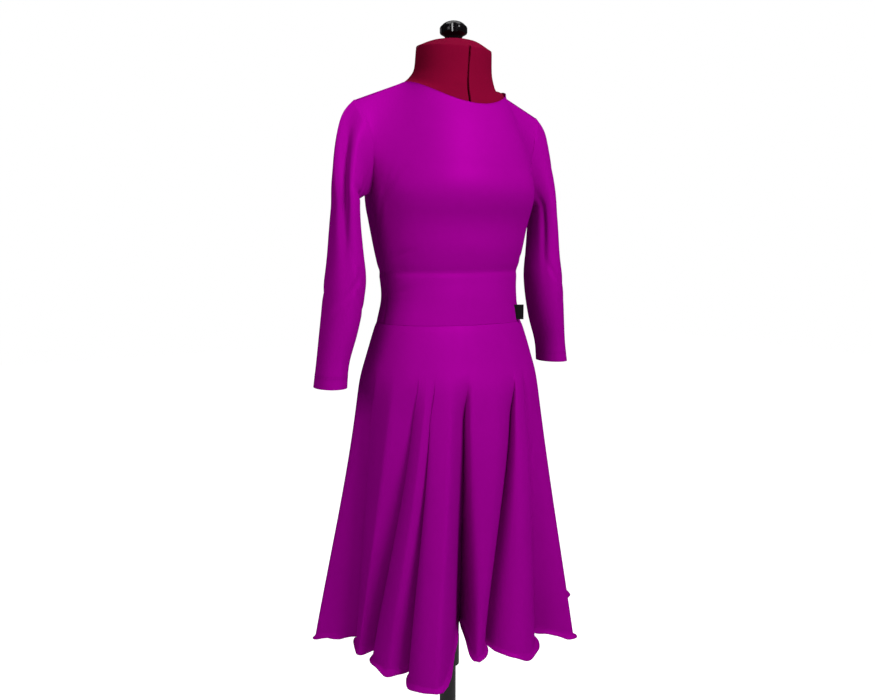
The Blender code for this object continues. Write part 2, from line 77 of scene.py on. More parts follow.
# Neckline, shoulders, armholes and sleeve heads
NECKLINE_CENTRE = -0.012
NECKLINE_HALF_WIDTH = 0.096
NECKLINE_DEPTH = 0.080
NECKLINE_TURN = 56.25
NECK_INSET = 0.0030
SHOULDER_HALF = 0.183
SHOULDER_FORWARD = -0.008
ARMHOLE_HALF = 0.160
ARMHOLE_FRONT = -0.052
ARMHOLE_BACK = 0.062
SLEEVE_HEAD_FULLNESS = 0.030
UNDERARM_EASE = 0.18
SQUARENESS = 2.25
FORM_INSET = 0.0032
BUST_INSET = 0.0110

# Flutes of the skirt
RIDGE_SLOPE = 0.13
VALLEY_SLOPE = 0.033
LIP_HEIGHT = 0.009
SKIRT_STEPS = 16

# Columns across a front or back piece, and segments round the form
PIECE_COLUMNS = 84
FORM_SIDES = 96

# Label, slot down the form's neck and neck dial
LABEL_TURN = 58.0
LABEL_WIDTH = 0.017
SLOT_HEIGHTS = (1.385, 1.545)
SLOT_SIZE = (0.0040, 0.0300)
SLOT_PLACE = (-0.0105, -0.0875)
SLOT_LEAN = -4.0
DIAL_LOBES = 6
NOTCH_RADIUS = 0.0100
NOTCH_REACH = 0.0290

# Gaps between cuff stitches and between their two rows, and the pitch of thread and label weave
STITCH_GAP = 0.0008
STITCH_ROWS_GAP = 0.004
PLY_PITCH = 0.0008
WEAVE_PITCH = 0.0006
# Scale of a wave texture whose bands are one metre wide
BAND_SCALE = 0.31

PALE = (1.0, 1.0, 1.0)

Section = namedtuple("Section", "height half_width front back")
SleeveRing = namedtuple("SleeveRing", "height centre forward half_thick half_deep")
Flute = namedtuple("Flute", "ridge_hip ridge_turn ridge_reach valley_hip valley_turn valley_reach lift")
FormRing = namedtuple("FormRing", "height half_width half_deep centre tilt", defaults=(0.0,))
Crease = namedtuple("Crease", "place height length width depth slant")


def table(kind, rows):
    return [kind(*row) for row in rows]


TORSO = table(Section, (
    (1.045, 0.1305, 0.1050, 0.0930),
    (1.087, 0.1225, 0.1010, 0.0860),
    (1.131, 0.1260, 0.0960, 0.0920),
    (1.170, 0.1340, 0.1070, 0.0990),
    (1.214, 0.1420, 0.1150, 0.1070),
    (1.262, 0.1510, 0.1400, 0.1140),
))
HIPS = table(Section, (
    (0.945, 0.1605, 0.1380, 0.1260),
    (0.974, 0.1525, 0.1270, 0.1150),
    (1.010, 0.1430, 0.1170, 0.1010),
    (1.045, 0.1315, 0.1060, 0.0940),
))
# Flutes in order of turn, each with the valley that follows it
# A fold leans from its hip turn to its hem turn
FLUTES = table(Flute, (
    (-158, -162, 0.220, -148, -152, 0.120, 0.010),
    (-136, -141, 0.230, -122, -131, 0.128, 0.012),
    (-104, -118, 0.242, -86, -109, 0.162, 0.014),
    (-66, -98, 0.172, -47, -92, 0.120, 0.014),
    (-41, -70, 0.172, -36, -55, 0.146, 0.010),
    (-26, -38, 0.197, -14, -8, 0.072, 0.006),
    (1, -9, 0.130, 16, 12, 0.100, 0.022),
    (21, 28, 0.168, 27, 50, 0.151, 0.016),
    (47, 56, 0.230, 60, 68, 0.130, 0.012),
    (76, 82, 0.253, 93, 97, 0.130, 0.052),
    (108, 109, 0.236, 120, 120, 0.120, 0.020),
    (131, 131, 0.222, 142, 142, 0.115, 0.012),
    (154, 154, 0.216, 165, 165, 0.110, 0.010),
    (176, 176, 0.214, 189, 187, 0.112, 0.008),
))
# How steeply each flute leaves its valleys on its first and second side, lower being steeper
USUAL_FLANKS = (0.42, 0.80)
FLANKS = {0: (0.60, 0.62), 2: (0.42, 1.40), 3: (0.42, 1.30), 5: (0.42, 1.90), 7: (0.45, 0.42),
          8: (0.80, 0.55), 9: (0.62, 0.70), 12: (0.62, 0.50)}
# How far each flute hangs over its valleys on its first and second side
USUAL_LEANS = (0.010, 0.0)
LEANS = {0: (0.004, 0.0), 2: (0.0, 0.0), 3: (0.012, 0.0), 6: (0.007, 0.0), 7: (0.009, 0.010),
         8: (0.0, 0.004), 9: (0.0, 0.006)}
# Depth of the crease in the valley that follows each flute, and its breadth on the valley's two sides
TROUGHS = (0.006, 0.006, 0.028, 0.018, 0.009, 0.020, 0.013,
           0.012, 0.006, 0.008, 0.007, 0.005, 0.008, 0.006)
TROUGH_BREADTHS = (0.95, 0.16)
# How far the hem rises in the valley that follows each flute
VALLEY_RISES = (0.006, 0.008, 0.012, 0.010, 0.006, 0.054, 0.016,
                0.016, 0.006, 0.008, 0.007, 0.005, 0.008, 0.006)
# Skirt panels in order of turn, each with the number of the flute whose valley is its last seam
PANEL_ENDS = {"skirt_back_right": 2, "skirt_front_right": 5, "skirt_front_left": 9, "skirt_back_left": 12}
# Rings of a sleeve from the armhole down to the cuff: height, centre, forward, half thickness and half
# depth
SLEEVE = table(SleeveRing, (
    (1.247, 0.2000, -0.008, 0.0190, 0.0350),
    (1.211, 0.2020, -0.008, 0.0220, 0.0365),
    (1.153, 0.2020, -0.008, 0.0280, 0.0395),
    (ELBOW, 0.2030, -0.009, 0.0320, 0.0415),
    (1.081, 0.2080, -0.008, 0.0315, 0.0415),
    (1.030, 0.2165, -0.006, 0.0290, 0.0385),
    (0.984, 0.2265, -0.005, 0.0250, 0.0335),
    (CUFF, 0.2310, -0.005, 0.0260, 0.0345),
))
FORM_HIPS = table(FormRing, (
    (0.885, 0.1240, 0.0930, -0.004),
    (0.892, 0.1320, 0.0995, -0.004),
    (0.905, 0.1370, 0.1035, -0.004),
    (0.935, 0.1400, 0.1060, -0.004),
    (0.985, 0.1360, 0.0990, -0.005),
    (1.018, 0.1300, 0.0930, -0.006),
))
FORM_CHEST = table(FormRing, (
    (1.300, 0.1420, 0.1040, -0.008),
    (1.335, 0.1380, 0.0880, -0.008),
    (1.365, 0.1240, 0.0750, -0.008),
    (1.388, 0.1050, 0.0670, -0.009),
))
FORM_NECK = table(FormRing, (
    (1.4450, 0.0765, 0.0695, -0.012, 0.28),
    (1.4570, 0.0695, 0.0650, -0.013, 0.20),
    (1.4700, 0.0662, 0.0630, -0.014, 0.14),
    (1.4980, 0.0645, 0.0620, -0.016, 0.12),
    (1.5020, 0.0632, 0.0610, -0.016, 0.12),
    (1.5040, 0.0600, 0.0580, -0.016, 0.12),
    (1.5130, 0.0400, 0.0390, -0.016, 0.05),
    (1.5158, 0.0180, 0.0180, -0.015),
))

# Creases: place is a turn on the torso and part of the way round on a sleeve, slant degrees from upright
BODICE_CREASES = table(Crease, (
    (-82, 1.235, 0.045, 0.007, 0.0022, 24),
    (-74, 1.262, 0.040, 0.006, 0.0016, 40),
    (82, 1.232, 0.045, 0.007, 0.0020, -28),
    (72, 1.266, 0.038, 0.006, 0.0014, -46),
    (-66, 1.160, 0.030, 0.006, 0.0010, 74),
    (64, 1.152, 0.026, 0.006, 0.0010, -80),
    (104, 1.225, 0.046, 0.007, 0.0020, 26),
    (-106, 1.228, 0.046, 0.007, 0.0020, -24),
    (150, 1.155, 0.040, 0.008, 0.0014, 80),
    (-148, 1.162, 0.036, 0.008, 0.0014, -82),
))
BAND_CREASES = table(Crease, (
    (-70, 1.100, 0.024, 0.006, 0.0008, 78),
    (48, 1.076, 0.030, 0.006, 0.0007, 86),
    (140, 1.095, 0.036, 0.006, 0.0010, 84),
    (-150, 1.080, 0.032, 0.006, 0.0009, -84),
))
RIGHT_SLEEVE_CREASES = table(Crease, (
    (0.40, 1.290, 0.098, 0.014, 0.0130, 5),
    (0.14, 1.255, 0.026, 0.008, 0.0040, 62),
    (0.10, 1.205, 0.060, 0.008, 0.0036, 4),
    (0.20, 1.130, 0.030, 0.007, 0.0022, 30),
    (0.30, 1.100, 0.034, 0.007, 0.0020, -34),
    (0.16, 1.085, 0.028, 0.007, 0.0016, 48),
    (0.62, 1.110, 0.036, 0.008, 0.0024, 36),
    (0.74, 1.150, 0.034, 0.007, 0.0020, -30),
    (0.86, 1.200, 0.056, 0.008, 0.0034, -6),
))
LEFT_SLEEVE_CREASES = table(Crease, (
    (0.12, 1.200, 0.060, 0.008, 0.0034, -4),
    (0.24, 1.118, 0.032, 0.007, 0.0020, -32),
    (0.34, 1.096, 0.030, 0.007, 0.0018, 30),
    (0.44, 1.280, 0.052, 0.008, 0.0018, -8),
    (0.60, 1.120, 0.036, 0.008, 0.0022, -34),
    (0.88, 1.205, 0.058, 0.008, 0.0034, 4),
))


def linear(hex_colour):
    """A linear RGB triple from an sRGB hex colour."""
    parts = [int(hex_colour[index:index + 2], 16) / 255 for index in (1, 3, 5)]
    return tuple(part / 12.92 if part <= 0.04045 else ((part + 0.055) / 1.055) ** 2.4 for part in parts)


def size_setting(name, description, default):
    return bpy.props.FloatProperty(name=name, description=description, default=default, unit="LENGTH")


def colour_setting(name, description, default):
    return bpy.props.FloatVectorProperty(
        name=name, description=description, default=linear(default), subtype="COLOR")


class DressSizes(bpy.types.PropertyGroup):
    cloth: size_setting("Cloth thickness", "Thickness of the crepe", 0.0009)
    lip: size_setting("Hem lip", "Outward curl of the stiffened hem", 0.0060)
    hem_roll: size_setting("Hem roll", "Thickness of the rolled hem", 0.0020)
    hem_wave: size_setting("Hem wave", "Height of the hem's small waves", 0.0050)
    cuff_hem: size_setting("Cuff hem", "Height of the stitches above the cuff", 0.0200)
    stitch: size_setting("Stitch", "Length of one stitch", 0.0026)
    crepe_grain: size_setting("Crepe grain", "Size of the crepe's pebbled grain", 0.0011)
    cover_nap: size_setting("Cover nap", "Size of the form cover's brushed nap", 0.0012)


class DressColours(bpy.types.PropertyGroup):
    crepe: colour_setting("Crepe", "Colour of the dress", "#a8039c")
    thread: colour_setting("Thread", "Colour of the sewing thread", "#8a0281")
    cover: colour_setting("Form cover", "Colour of the knit cover", "#82052f")
    label: colour_setting("Label", "Colour of the side label", "#121013")
    dial: colour_setting("Dial", "Colour of the neck dial", "#080508")
    enamel: colour_setting("Stand", "Colour of the stand", "#131314")


def add_node(tree, kind, inputs=None, links=None, **settings):
    """Adds a shader node with its socket values, its incoming links and its settings."""
    node = tree.nodes.new("ShaderNode" + kind)
    for name, value in settings.items():
        setattr(node, name, value)
    for name, value in (inputs or {}).items():
        node.inputs[name].default_value = value
    for name, source in (links or {}).items():
        tree.links.new(source, node.inputs[name])
    return node


def new_material(name, colour, values):
    """A material with its shader's values, its node tree, its shader and its texture coordinates."""
    material = bpy.data.materials.new(name + "_finish")
    material.use_nodes = True
    shader = material.node_tree.nodes["Principled BSDF"]
    shader.inputs["Base Color"].default_value = (*colour, 1.0)
    for socket, value in values.items():
        shader.inputs[socket].default_value = value
    tree = material.node_tree
    return material, tree, shader, add_node(tree, "TexCoord").outputs


def shaded(colour, factor):
    return (*(min(1.0, part * factor) for part in colour), 1.0)


def crepe_material(colours, sizes):
    """Stretch polyester crepe: fine pebbled weave, a soft satin sheen and barely uneven dye."""
    material, tree, shader, place = new_material("stretch_crepe", colours.crepe, {
        "Roughness": 0.50, "Metallic": 0.07, "Specular IOR Level": 0.0,
        "Specular Tint": (0.9, 0.02, 0.9, 1.0), "Sheen Weight": 0.04, "Sheen Roughness": 0.40,
        "Sheen Tint": (0.9, 0.0, 0.9, 1.0),
    })
    dye = add_node(tree, "TexNoise", {"Scale": 9.0, "Detail": 3.0}, {"Vector": place["Object"]})
    tint = add_node(tree, "Mix", {"A": shaded(colours.crepe, 0.93), "B": shaded(colours.crepe, 1.06)},
                    {"Factor": dye.outputs["Fac"]}, data_type="RGBA")
    tree.links.new(tint.outputs[2], shader.inputs["Base Color"])
    grain = add_node(tree, "TexNoise", {"Scale": 1 / sizes.crepe_grain, "Detail": 2.0, "Roughness": 0.6},
                     {"Vector": place["UV"]})
    twill = add_node(tree, "TexWave", {"Scale": BAND_SCALE / sizes.crepe_grain, "Distortion": 1.5},
                     {"Vector": place["UV"]}, bands_direction="DIAGONAL")
    both = add_node(tree, "Math", {}, {0: grain.outputs["Fac"], 1: twill.outputs["Fac"]}, operation="ADD")
    bump = add_node(tree, "Bump", {"Strength": 0.18, "Distance": 0.0003}, {"Height": both.outputs[0]})
    tree.links.new(bump.outputs["Normal"], shader.inputs["Normal"])
    return material


def thread_material(colours, sizes):
    """Spun polyester thread: twisted plies, a little duller and darker than the crepe."""
    material, tree, shader, place = new_material("sewing_thread", colours.thread, {
        "Roughness": 0.7, "Specular IOR Level": 0.02,
    })
    plies = add_node(tree, "TexWave", {"Scale": BAND_SCALE / PLY_PITCH}, {"Vector": place["Object"]},
                     bands_direction="DIAGONAL")
    tint = add_node(tree, "Mix", {"A": shaded(colours.thread, 0.75), "B": shaded(colours.thread, 1.1)},
                    {"Factor": plies.outputs["Fac"]}, data_type="RGBA")
    tree.links.new(tint.outputs[2], shader.inputs["Base Color"])
    return material


def cover_material(colours, sizes):
    """Brushed warp knit over foam: a short, fine nap that lightens at grazing angles."""
    material, tree, shader, place = new_material("form_cover", colours.cover, {
        "Roughness": 0.85, "Specular IOR Level": 0.02, "Sheen Weight": 0.05,
        "Sheen Roughness": 0.4, "Sheen Tint": (1.0, 0.02, 0.20, 1.0),
    })
    rub = add_node(tree, "TexNoise", {"Scale": 22.0, "Detail": 4.0}, {"Vector": place["Object"]})
    tint = add_node(tree, "Mix", {"A": shaded(colours.cover, 0.86), "B": shaded(colours.cover, 1.12)},
                    {"Factor": rub.outputs["Fac"]}, data_type="RGBA")
    tree.links.new(tint.outputs[2], shader.inputs["Base Color"])
    nap = add_node(tree, "TexNoise", {"Scale": 1 / sizes.cover_nap, "Detail": 3.0},
                   {"Vector": place["Object"]})
    bump = add_node(tree, "Bump", {"Strength": 0.35, "Distance": 0.0005}, {"Height": nap.outputs["Fac"]})
    tree.links.new(bump.outputs["Normal"], shader.inputs["Normal"])
    return material


def label_material(colours, sizes):
    """Damask-woven polyester tape: flat black with a fine cross weave."""
    material, tree, shader, place = new_material("woven_label", colours.label, {
        "Roughness": 0.6, "Specular IOR Level": 0.1,
    })
    heights = {}
    for number, direction in enumerate(("X", "Y")):
        wave = add_node(tree, "TexWave", {"Scale": BAND_SCALE / WEAVE_PITCH}, {"Vector": place["UV"]},
                        bands_direction=direction)
        heights[number] = wave.outputs["Fac"]
    weave = add_node(tree, "Math", {}, heights, operation="MULTIPLY")
    tint = add_node(tree, "Mix", {"A": shaded(colours.label, 0.7), "B": shaded(colours.label, 1.8)},
                    {"Factor": weave.outputs[0]}, data_type="RGBA")
    tree.links.new(tint.outputs[2], shader.inputs["Base Color"])
    bump = add_node(tree, "Bump", {"Strength": 0.4, "Distance": 0.0002}, {"Height": weave.outputs[0]})
    tree.links.new(bump.outputs["Normal"], shader.inputs["Normal"])
    return material


def dial_material(colours, sizes):
    """Moulded ABS with a polished skin: near black, glossy, with faint handling marks."""
    material, tree, shader, place = new_material("dial_plastic", colours.dial, {
        "Roughness": 0.16, "IOR": 1.53, "Specular IOR Level": 0.22,
    })
    marks = add_node(tree, "TexNoise", {"Scale": 260.0, "Detail": 4.0}, {"Vector": place["Object"]})
    gloss = add_node(tree, "MapRange", {"To Min": 0.12, "To Max": 0.26}, {"Value": marks.outputs["Fac"]})
    tree.links.new(gloss.outputs["Result"], shader.inputs["Roughness"])
    return material


def enamel_material(colours, sizes):
    """Powder-coated steel: satin black with a faint orange peel."""
    material, tree, shader, place = new_material("stand_enamel", colours.enamel, {
        "Roughness": 0.38, "IOR": 1.5,
    })
    peel = add_node(tree, "TexNoise", {"Scale": 700.0, "Detail": 2.0}, {"Vector": place["Object"]})
    gloss = add_node(tree, "MapRange", {"To Min": 0.32, "To Max": 0.46}, {"Value": peel.outputs["Fac"]})
    tree.links.new(gloss.outputs["Result"], shader.inputs["Roughness"])
    bump = add_node(tree, "Bump", {"Strength": 0.12, "Distance": 0.0002}, {"Height": peel.outputs["Fac"]})
    tree.links.new(bump.outputs["Normal"], shader.inputs["Normal"])
    return material


MAKERS = {
    "stretch_crepe": crepe_material,
    "sewing_thread": thread_material,
    "form_cover": cover_material,
    "woven_label": label_material,
    "dial_plastic": dial_material,
    "stand_enamel": enamel_material,
}


def finish_for(name):
    """The finish of that name, made when it is first asked for."""
    found = bpy.data.materials.get(name + "_finish")
    scene = bpy.context.scene
    return found or MAKERS[name](scene.dress_colours, scene.dress_sizes)


def smooth_step(low, high, low_slope, high_slope, part):
    """A smooth way from one value to the next, with a slope at both ends; part runs from 0 to 1."""
    share = 3 * part**2 - 2 * part**3
    return (low * (1 - share) + high * share
            + low_slope * (part**3 - 2 * part**2 + part) + high_slope * (part**3 - part**2))


def table_curve(rows, column):
    """A smooth function of height through a table's column."""
    heights = np.array([row.height for row in rows])
    values = np.array([getattr(row, column) for row in rows])
    order = np.argsort(heights)
    heights, values = heights[order], values[order]
    last = len(heights) - 1
    before = np.maximum(np.arange(last + 1) - 1, 0)
    after = np.minimum(np.arange(last + 1) + 1, last)
    slopes = (values[after] - values[before]) / (heights[after] - heights[before])

    def value(height):
        height = np.clip(height, heights[0], heights[-1])
        low = np.clip(np.searchsorted(heights, height, side="right") - 1, 0, last - 1)
        span = heights[low + 1] - heights[low]
        part = (height - heights[low]) / span
        return smooth_step(values[low], values[low + 1], slopes[low] * span, slopes[low + 1] * span, part)

    return value


def section_surface(rows):
    """A function of turn and height that gives points on the rounded sections of a table."""
    half_width, front, back = (table_curve(rows, column) for column in ("half_width", "front", "back"))

    def point(turn, height):
        turn, height = np.broadcast_arrays(np.asarray(turn, float), np.asarray(height, float))
        angle = np.radians(turn)
        power = 2.0 / SQUARENESS
        across = np.sign(np.sin(angle)) * np.abs(np.sin(angle)) ** power
        along = np.sign(np.cos(angle)) * np.abs(np.cos(angle)) ** power
        depth = np.where(along > 0, front(height), back(height))
        return np.stack([half_width(height) * across, -along * depth, height], axis=-1)

    return point


torso_point = section_surface(TORSO)
hip_point = section_surface(HIPS)


def graded(count, ends=0.6):
    """Fractions from 0 to 1 that lie closer together near both ends."""
    even = np.linspace(0, 1, count + 1)
    return (1 - ends) * even + ends * (0.5 - 0.5 * np.cos(np.pi * even))


def from_middle(turn, front):
    """Degrees from the middle of the front or of the back, at these turns."""
    return np.abs(turn) if front else 180 - np.abs(turn)


def top_edge(turn, front):
    """Points of the neckline and shoulder seam above columns at these turns."""
    folded = from_middle(turn, front)
    side = np.where(turn > 0, 1.0, -1.0)
    angle = np.radians(90 * np.minimum(folded / NECKLINE_TURN, 1))
    middle = FRONT_NECK if front else BACK_NECK
    neck = np.stack([
        side * NECKLINE_HALF_WIDTH * np.sin(angle),
        NECKLINE_CENTRE + (-1 if front else 1) * NECKLINE_DEPTH * np.cos(angle),
        middle + (SIDE_NECK - middle) * np.sin(angle) ** 2,
    ], axis=-1)
    shoulder = np.stack([
        side * SHOULDER_HALF, np.full(len(turn), SHOULDER_FORWARD), np.full(len(turn), SHOULDER),
    ], axis=-1)
    part = np.clip((folded - NECKLINE_TURN) / (90 - NECKLINE_TURN), 0, 1)[:, None]
    return neck * (1 - part) + shoulder * part


def chest_rows(turn, front, parts):
    """Rows of points from the armpit level, part 0, to the neckline and shoulder seam, part 1."""
    low = torso_point(turn, ARMPIT)
    high = top_edge(turn, front)
    folded = from_middle(turn, front)
    edge = (folded / 90.0) ** 4
    side = np.where(turn > 0, 1.0, -1.0)
    hollow = ARMHOLE_FRONT if front else ARMHOLE_BACK
    bend = np.stack([
        (1 - edge) * 0.5 * (low[:, 0] + high[:, 0]) + edge * side * ARMHOLE_HALF,
        (1 - edge) * (0.78 * low[:, 1] + 0.22 * high[:, 1]) + edge * hollow,
        low[:, 2] + 0.55 * (high[:, 2] - low[:, 2]),
    ], axis=-1)
    part = np.asarray(parts)[:, None, None]
    return low * (1 - part) ** 2 + bend * 2 * part * (1 - part) + high * part**2


def grid_normals(grid, closed):
    """Outward unit normals of a grid of points, rows upwards and columns by turn."""
    if closed:
        wide = np.concatenate([grid[:, -1:], grid, grid[:, :1]], axis=1)
        across = wide[:, 2:] - wide[:, :-2]
    else:
        across = np.gradient(grid, axis=1)
    up = np.gradient(grid, axis=0)
    normal = np.cross(across, up)
    return normal / np.maximum(np.linalg.norm(normal, axis=-1, keepdims=True), 1e-12)


def smooth_along(grid, rounds, weight):
    """Evens a grid out along its first axis, by a weight for each point; its ends stay."""
    for _ in range(rounds):
        middle = 0.5 * grid[1:-1] + 0.25 * (grid[:-2] + grid[2:])
        grid[1:-1] += weight * (middle - grid[1:-1])


def crease_depth(across, up, creases):
    """Offset of soft troughs with a low ridge on both sides, at points given in metres."""
    offset = np.zeros(np.broadcast(across[0], up).shape)
    for crease, distance in zip(creases, across):
        slant = math.radians(crease.slant)
        rise = up - crease.height
        along = rise * math.cos(slant) + distance * math.sin(slant)
        off = (distance * math.cos(slant) - rise * math.sin(slant)) / crease.width
        along = along / crease.length
        offset -= crease.depth * (1 - 0.9 * off**2) * np.exp(-off**2 - along**2)
    return offset


def edge_dip(grid, edges, depth=0.0008, width=0.0035):
    """Offset that turns the cloth in at its seams; edges names them: bottom, top, start, end."""
    offset = np.zeros(grid.shape[:2])
    steps_up = np.linalg.norm(np.diff(grid, axis=0), axis=-1)
    steps_along = np.linalg.norm(np.diff(grid, axis=1), axis=-1)
    up = np.concatenate([np.zeros((1, grid.shape[1])), np.cumsum(steps_up, axis=0)])
    along = np.concatenate([np.zeros((grid.shape[0], 1)), np.cumsum(steps_along, axis=1)], axis=1)
    distances = {"bottom": up, "top": up[-1:] - up, "start": along, "end": along[:, -1:] - along}
    for edge in edges:
        offset -= depth * np.exp(-((distances[edge] / width) ** 2))
    return offset


def add_object(name, data):
    obj = bpy.data.objects.new(name, data)
    bpy.context.scene.collection.objects.link(obj)
    return obj


def travelled(points):
    """Distances travelled along a line of points, from 0."""
    return np.concatenate([[0], np.cumsum(np.linalg.norm(np.diff(points, axis=0), axis=-1))])


def deselect_all():
    if bpy.context.mode != "OBJECT":
        bpy.ops.object.mode_set(mode="OBJECT")
    bpy.ops.object.select_all(action="DESELECT")


def take(obj):
    """Makes an object the only selected and active one."""
    deselect_all()
    obj.select_set(True)
    bpy.context.view_layer.objects.active = obj
    return obj


def smooth_below(obj, degrees):
    """Shades an object smooth where its faces meet at less than an angle."""
    take(obj)
    bpy.ops.object.shade_smooth_by_angle(angle=math.radians(degrees))


def edit_all(obj):
    """Opens an object for editing with all of its mesh selected."""
    take(obj)
    bpy.ops.object.mode_set(mode="EDIT")
    bpy.ops.mesh.select_all(action="SELECT")


def apply_modifier(obj, kind, **settings):
    take(obj)
    modifier = obj.modifiers.new(kind.title(), kind)
    for name, value in settings.items():
        setattr(modifier, name, value)
    bpy.ops.object.modifier_apply(modifier=modifier.name)


def cut_away(obj, cutter):
    apply_modifier(obj, "BOOLEAN", operation="DIFFERENCE", object=cutter, solver="EXACT")
    bpy.data.objects.remove(cutter, do_unlink=True)


def dress_piece(obj, slot, body=DRESS_BODY, replaces=(), finish=None):
    """Gives a finished piece its finish and its body, and hides the model's nodes that it stands in for."""
    obj.data.materials.clear()
    obj.data.materials.append(finish_for(finish or slot))
    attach(obj, body)
    if replaces:
        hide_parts(*replaces)
    return obj


def cloth_from_grid(name, grid, closed, flip=False):
    """A thin shell of cloth from its outer points, with a UV map in metres."""
    rows, count = grid.shape[:2]
    mesh = bpy.data.meshes.new(name)
    faces, corners = [], []
    last = count if closed else count - 1
    for row in range(rows - 1):
        for column in range(last):
            after = (column + 1) % count
            square = [row * count + column, row * count + after,
                      (row + 1) * count + after, (row + 1) * count + column]
            places = [(row, column), (row, column + 1), (row + 1, column + 1), (row + 1, column)]
            faces.append(square[::-1] if flip else square)
            corners.append(places[::-1] if flip else places)
    mesh.from_pydata(grid.reshape(-1, 3).tolist(), [], faces)
    around = np.concatenate([grid, grid[:, :1]], axis=1) if closed else grid
    width = travelled(around[rows // 2])
    height = travelled(grid[:, count // 2])
    layer = mesh.uv_layers.new(name="cut")
    flat = [(width[column], height[row]) for face in corners for row, column in face]
    layer.data.foreach_set("uv", np.array(flat, np.float32).ravel())
    obj = add_object(name, mesh)
    thickness = bpy.context.scene.dress_sizes.cloth
    apply_modifier(obj, "SOLIDIFY", thickness=thickness, offset=-1.0, use_even_offset=False)
    smooth_below(obj, 60)
    return obj


def piece_turns(front):
    """Turns of the columns of a front or back piece, closer together near its side seams."""
    part = graded(PIECE_COLUMNS, 0.75)
    turn = -90 + 180 * part if front else 90 + 180 * part
    return np.where(turn > 180, turn - 360, turn)


def torso_creases(grid, turn, radius, creases):
    """Offset of the creases of a torso piece with its columns at these turns."""
    across = [np.radians((turn[None, :] - crease.place + 180) % 360 - 180) * radius for crease in creases]
    return crease_depth(across, grid[..., 2], creases)


def bodice_grid(front):
    """Fine grid of one bodice half, from the waistband seam up, with the bust and its creases."""
    turn = piece_turns(front)
    lower = BAND_SEAM + (ARMPIT - BAND_SEAM) * (1 - np.cos(np.linspace(0, np.pi / 2, 40)))
    low_rows = torso_point(turn[None, :], lower[:, None])
    high_rows = chest_rows(turn, front, np.sin(np.linspace(0, np.pi / 2, 48))[1:])
    grid = np.concatenate([low_rows, high_rows])
    folded = from_middle(turn, front)
    smooth_along(grid, 16, np.clip((84 - folded) / 24, 0, 1)[:, None])
    rows = np.arange(len(grid))
    level = np.clip((rows - 34) / 12, 0, 1) * np.clip((len(grid) - 1 - rows) / 26, 0, 1)
    side = np.clip((90 - folded[1:-1]) / 14, 0, 1)
    smooth_along(grid.swapaxes(0, 1), 50, (side[:, None] * level)[..., None])
    normal = grid_normals(grid, False)
    offset = torso_creases(grid, turn, np.hypot(grid[..., 0], grid[..., 1]), BODICE_CREASES)
    offset += edge_dip(grid, ("bottom",), 0.0016, 0.0080) + edge_dip(grid, ("start", "end"), 0.0002)
    shoulder = np.clip((folded - NECKLINE_TURN) / 6, 0, 1)
    offset += edge_dip(grid, ("top",)) * shoulder[None, :]
    return grid + normal * offset[..., None]


def band_grid(front):
    """Fine grid of one half of the waistband."""
    turn = piece_turns(front)
    height = WAIST_SEAM + (BAND_SEAM - WAIST_SEAM) * graded(30, 0.7)
    grid = torso_point(turn[None, :], height[:, None])
    normal = grid_normals(grid, False)
    offset = torso_creases(grid, turn, 0.12, BAND_CREASES)
    offset += edge_dip(grid, ("top",), 0.0016, 0.0060)
    offset += edge_dip(grid, ("start", "end"))
    return grid + normal * offset[..., None]


def sleeve_grid(side, creases):
    """Fine closed grid of a sleeve from cuff to armhole, columns from inside the arm by the front."""
    half = 48
    part = np.linspace(0, 1, half + 1)
    front = chest_rows(np.array([side * 90.0]), True, part)[:, 0]
    back = chest_rows(np.array([side * 90.0]), False, part)[:, 0]
    armhole = np.concatenate([front, back[-2:0:-1]])
    count = len(armhole)
    angle = 2 * np.pi * np.arange(count) / count
    centre, forward, thick, deep = (table_curve(SLEEVE, column) for column in SleeveRing._fields[1:])

    def ring(height):
        lift = LEFT_CUFF_RISE * max(0.0, (ELBOW - height) / (ELBOW - CUFF)) if side > 0 else 0.0
        return np.stack([
            side * (centre(height) - thick(height) * np.cos(angle)),
            forward(height) - deep(height) * np.sin(angle),
            np.full(count, height + lift),
        ], axis=-1)

    first = ring(SLEEVE[0].height)
    rise = np.clip((armhole[:, 2] - ARMPIT) / (SHOULDER - ARMPIT), 0, 1)
    rows = [ring(height) for height in np.linspace(CUFF, SLEEVE[0].height, 90)]
    for step in 1 - np.linspace(0, 1, 36)[1:] ** 1.15:
        part = step + UNDERARM_EASE * (1 - rise) * step * (1 - step)
        fullness = SLEEVE_HEAD_FULLNESS * part**0.25 * (1 - part) ** 0.65 * rise
        row = armhole * (1 - part)[:, None] + first * part[:, None]
        row[:, 0] += side * fullness
        row[:, 2] += 0.3 * fullness
        rows.append(row)
    grid = np.array(rows)
    smooth_along(grid, 24, 1.0)
    tucked = armhole - np.array([side * 0.0035, 0.0, 0.0]) - np.array([0.0, 0.0, 0.0030]) * rise[:, None]
    grid = np.concatenate([grid, tucked[None]])
    normal = grid_normals(grid, True) * side
    place = np.arange(count) / count
    radius = 0.036
    across = [((place[None, :] - crease.place + 0.5) % 1 - 0.5) * 2 * np.pi * radius for crease in creases]
    closed = np.concatenate([grid, grid[:, :1]], axis=1)
    offset = crease_depth(across, grid[..., 2], creases)
    offset *= 1 + edge_dip(closed, ("top",), 1.0, 0.024)[:, :-1]
    offset -= edge_dip(closed, ("top",), 0.0006, 0.008)[:, :-1]
    return grid + normal * offset[..., None], normal


